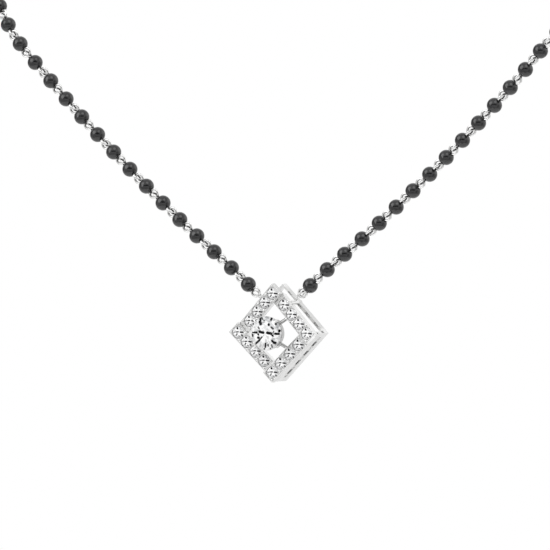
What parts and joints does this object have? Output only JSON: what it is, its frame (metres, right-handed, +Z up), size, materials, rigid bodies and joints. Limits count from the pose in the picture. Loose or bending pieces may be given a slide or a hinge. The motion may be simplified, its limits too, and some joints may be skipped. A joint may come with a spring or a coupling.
{
  "type": "mangalsutra necklace",
  "caption": "String of black beads on linked eye pins, with a square open pendant set with small stones round a raised solitaire.",
  "frame": {"origin": "at the nape, in the middle of the plain clasp barrel, where the string rests on the back of the neck", "axes": "+Z up, -Y towards the pendant and the wearer's front, +X to the right as seen from the front"},
  "size_m": [0.1336, 0.1146, 0.0992],
  "materials": {
    "white_gold": "polished",
    "white_gold_chain": "polished",
    "black_bead": "glossy",
    "centre_diamond": "faceted",
    "pave_diamond": "faceted"
  },
  "bodies": {
    "root": {"pendant_frame": "white_gold", "centre_stone": "centre_diamond", "clasp": "white_gold_chain", "beads_right": "black_bead", "beads_left": "black_bead", "eye_pins_right": "white_gold_chain", "eye_pins_left": "white_gold_chain", "pave_stone_01": "pave_diamond", "pave_stone_02": "pave_diamond", "pave_stone_03": "pave_diamond", "pave_stone_04": "pave_diamond", "pave_stone_05": "pave_diamond", "pave_stone_06": "pave_diamond", "pave_stone_07": "pave_diamond", "pave_stone_08": "pave_diamond", "pave_stone_09": "pave_diamond", "pave_stone_10": "pave_diamond", "pave_stone_11": "pave_diamond", "pave_stone_12": "pave_diamond", "pave_stone_13": "pave_diamond", "pave_stone_14": "pave_diamond", "pave_stone_15": "pave_diamond", "pave_stone_16": "pave_diamond"}
  },
  "joints": []
}
